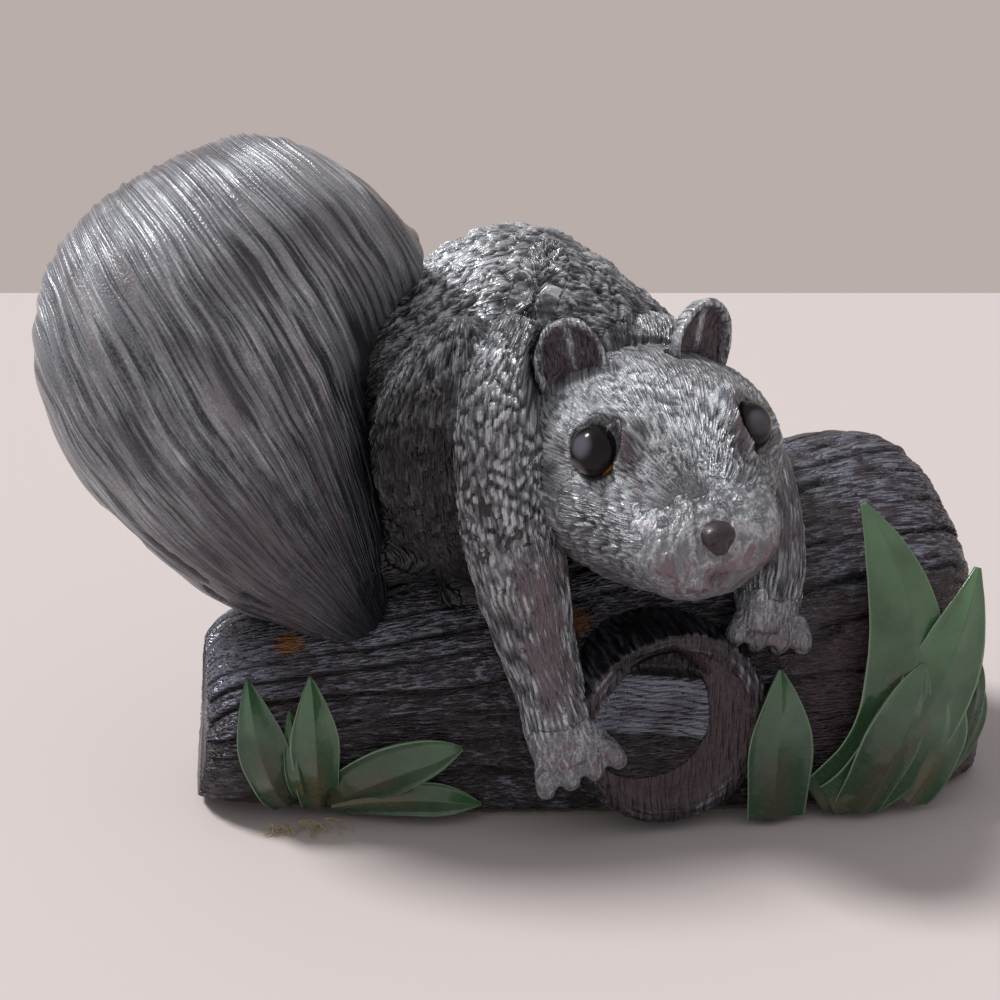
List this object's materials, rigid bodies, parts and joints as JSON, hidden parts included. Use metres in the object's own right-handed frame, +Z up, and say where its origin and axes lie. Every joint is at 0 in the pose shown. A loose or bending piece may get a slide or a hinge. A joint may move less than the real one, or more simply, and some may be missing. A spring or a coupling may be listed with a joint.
{
  "type": "squirrel figurine",
  "caption": "Cast and painted squirrel crouching on a tapered log with a sawn branch stub and leaf clusters, head turned to one side, on a felt pad; stands on a shelf as an ornament",
  "frame": {"origin": "The middle of the felt pad's underside, halfway along the log, on the surface the figurine stands on.", "axes": "+X runs along the log from its thin end, under the tail, to its thick end; -Y is the side that the squirrel's face is turned to; +Z is up."},
  "size_m": [0.189, 0.109, 0.1333],
  "materials": {
    "felt": "brown wool felt",
    "painted_bark": "cast resin bark, dark brown paint dry-brushed silver, varnished",
    "painted_end_grain": "cast resin end grain, grey-brown paint, varnished",
    "painted_fur": "cast resin fur, grey paint dry-brushed silver, satin varnish",
    "painted_nose": "dark brown paint, varnished",
    "eye_glass": "clear polished dome",
    "iris_paint": "dark brown iris paint behind the dome",
    "painted_leaf": "cast resin leaf, green paint, gloss varnish"
  },
  "bodies": {
    "root": {"pad": "felt", "log": "painted_bark", "branch_stub": "painted_end_grain", "torso": "painted_fur", "neck": "painted_fur", "tail": "painted_fur", "head": "painted_fur", "haunch_right": "painted_fur", "haunch_left": "painted_fur", "hind_foot_right": "painted_fur", "hind_foot_left": "painted_fur", "foreleg_right": "painted_fur", "foreleg_left": "painted_fur", "ear_right": "painted_fur", "ear_left": "painted_fur", "nose": "painted_nose", "eye_right": "eye_glass", "eye_left": "eye_glass", "iris_right": "iris_paint", "iris_left": "iris_paint", "leaf_right_1": "painted_leaf", "leaf_right_2": "painted_leaf", "leaf_right_3": "painted_leaf", "leaf_right_4": "painted_leaf", "leaf_right_5": "painted_leaf", "leaf_right_6": "painted_leaf", "leaf_right_7": "painted_leaf", "leaf_left_1": "painted_leaf", "leaf_left_2": "painted_leaf", "leaf_left_3": "painted_leaf", "leaf_left_4": "painted_leaf", "leaf_left_5": "painted_leaf"}
  },
  "joints": []
}
